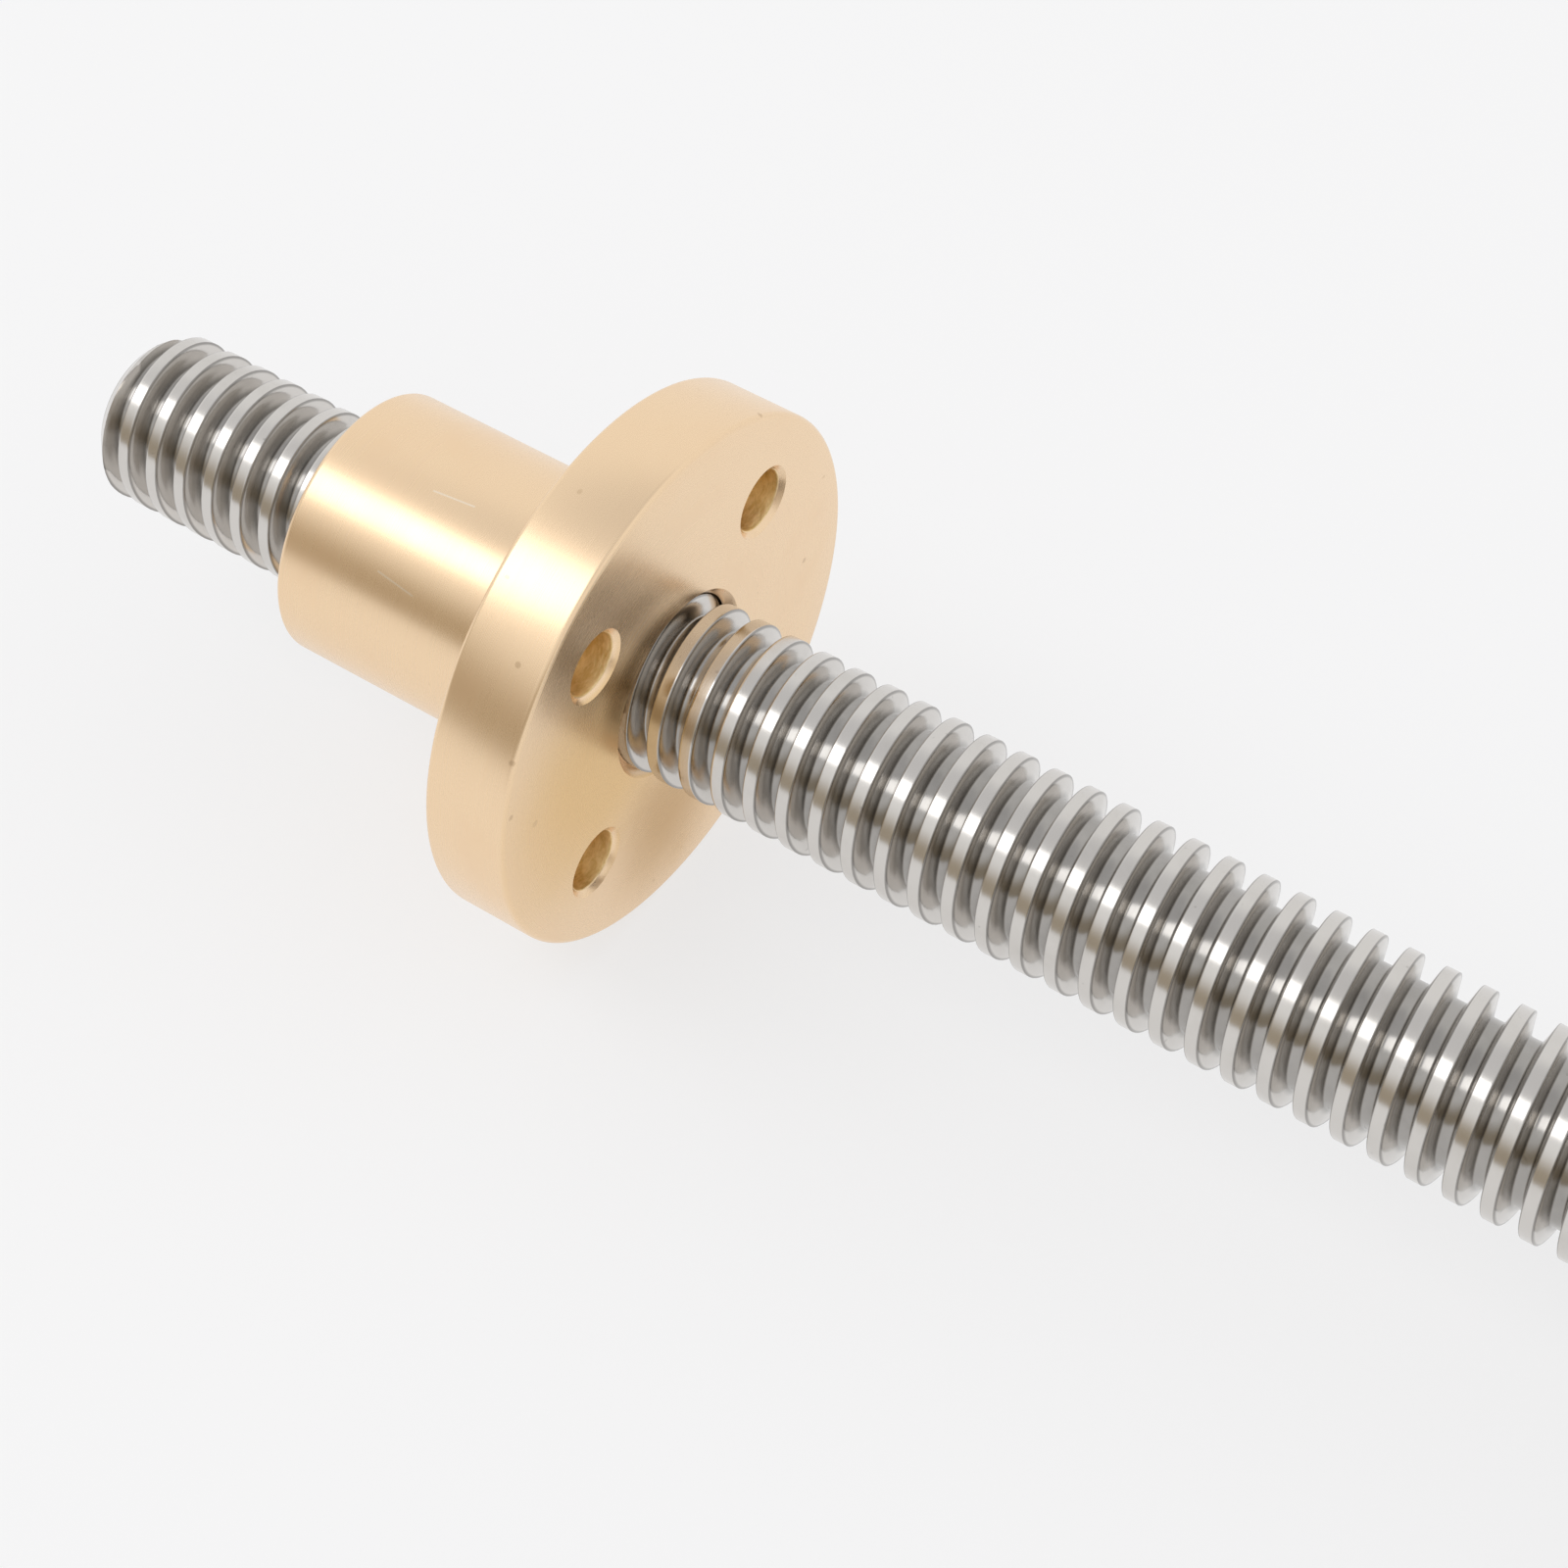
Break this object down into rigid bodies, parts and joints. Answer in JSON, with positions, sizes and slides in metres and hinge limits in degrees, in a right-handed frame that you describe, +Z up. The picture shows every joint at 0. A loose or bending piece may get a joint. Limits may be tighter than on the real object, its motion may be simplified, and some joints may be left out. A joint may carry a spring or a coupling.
{
  "type": "stepper motor with lead screw",
  "caption": "Square stepper motor whose shaft is a trapezoidal lead screw, with a round flanged brass nut that travels along the screw.",
  "frame": {"origin": "on the screw's axis, in the plane of the motor's mounting face", "axes": "+X along the screw from the motor to the tip, +Z up out of the side face that carries the connector"},
  "size_m": [0.2457, 0.0564, 0.0612],
  "materials": {
    "cap": "bead-blasted die casting",
    "lamination": "stacked sheet steel, painted black outside",
    "insulator": "moulded",
    "winding": "enamelled copper wire",
    "board": "solder mask",
    "connector": "moulded",
    "pin_metal": "tinned",
    "fastener": "zinc plated",
    "bearing_steel": "ground",
    "cage_metal": "pressed",
    "magnet": "sintered",
    "screw_steel": "rolled thread, lightly oiled",
    "nut_brass": "turned, satin"
  },
  "bodies": {
    "motor": {"front_cap": "cap", "rear_cap": "cap", "stator_stack": "lamination", "front_insulator": "insulator", "rear_insulator": "insulator", "phase_a_coils": "winding", "phase_b_coils": "winding", "terminal_board": "board", "connector_housing": "connector", "connector_pins": "pin_metal", "through_screws": "fastener", "spring_washer": "bearing_steel", "front_bearing_outer": "bearing_steel", "front_bearing_shields": "bearing_steel", "rear_bearing_outer": "bearing_steel", "rear_bearing_shields": "bearing_steel"},
    "rotor": {"screw_journal": "screw_steel", "lead_screw": "screw_steel", "rotor_cup_front": "lamination", "rotor_cup_rear": "lamination", "rotor_magnet": "magnet", "front_spacer": "screw_steel", "rear_spacer": "screw_steel", "front_bearing_inner": "bearing_steel", "rear_bearing_inner": "bearing_steel"},
    "nut": {"flange_nut": "nut_brass"},
    "front_ball_set": {"front_bearing_balls": "bearing_steel", "front_bearing_cage": "cage_metal"},
    "rear_ball_set": {"rear_bearing_balls": "bearing_steel", "rear_bearing_cage": "cage_metal"}
  },
  "joints": [
    {"name": "screw_spin", "type": "hinge", "parent": "motor", "child": "rotor", "pos_m": [0, 0, 0], "axis": [1, 0, 0], "range_deg": [-2520, 15120]},
    {"name": "nut_travel", "type": "slide", "parent": "motor", "child": "nut", "axis": [1, 0, 0], "range_m": [-0.1068, 0.0179]},
    {"name": "front_ball_set_spin", "type": "hinge", "parent": "motor", "child": "front_ball_set", "pos_m": [-0.006, 0, 0], "axis": [1, 0, 0], "range_deg": [-928, 5561]},
    {"name": "rear_ball_set_spin", "type": "hinge", "parent": "motor", "child": "rear_ball_set", "pos_m": [-0.069, 0, 0], "axis": [1, 0, 0], "range_deg": [-928, 5561]}
  ],
  "couplings": [
    {"joint": "nut_travel", "follows": "screw_spin", "m_per_rad": -0.00040425},
    {"joint": "front_ball_set_spin", "follows": "screw_spin", "ratio": 0.36772},
    {"joint": "rear_ball_set_spin", "follows": "screw_spin", "ratio": 0.3677}
  ]
}
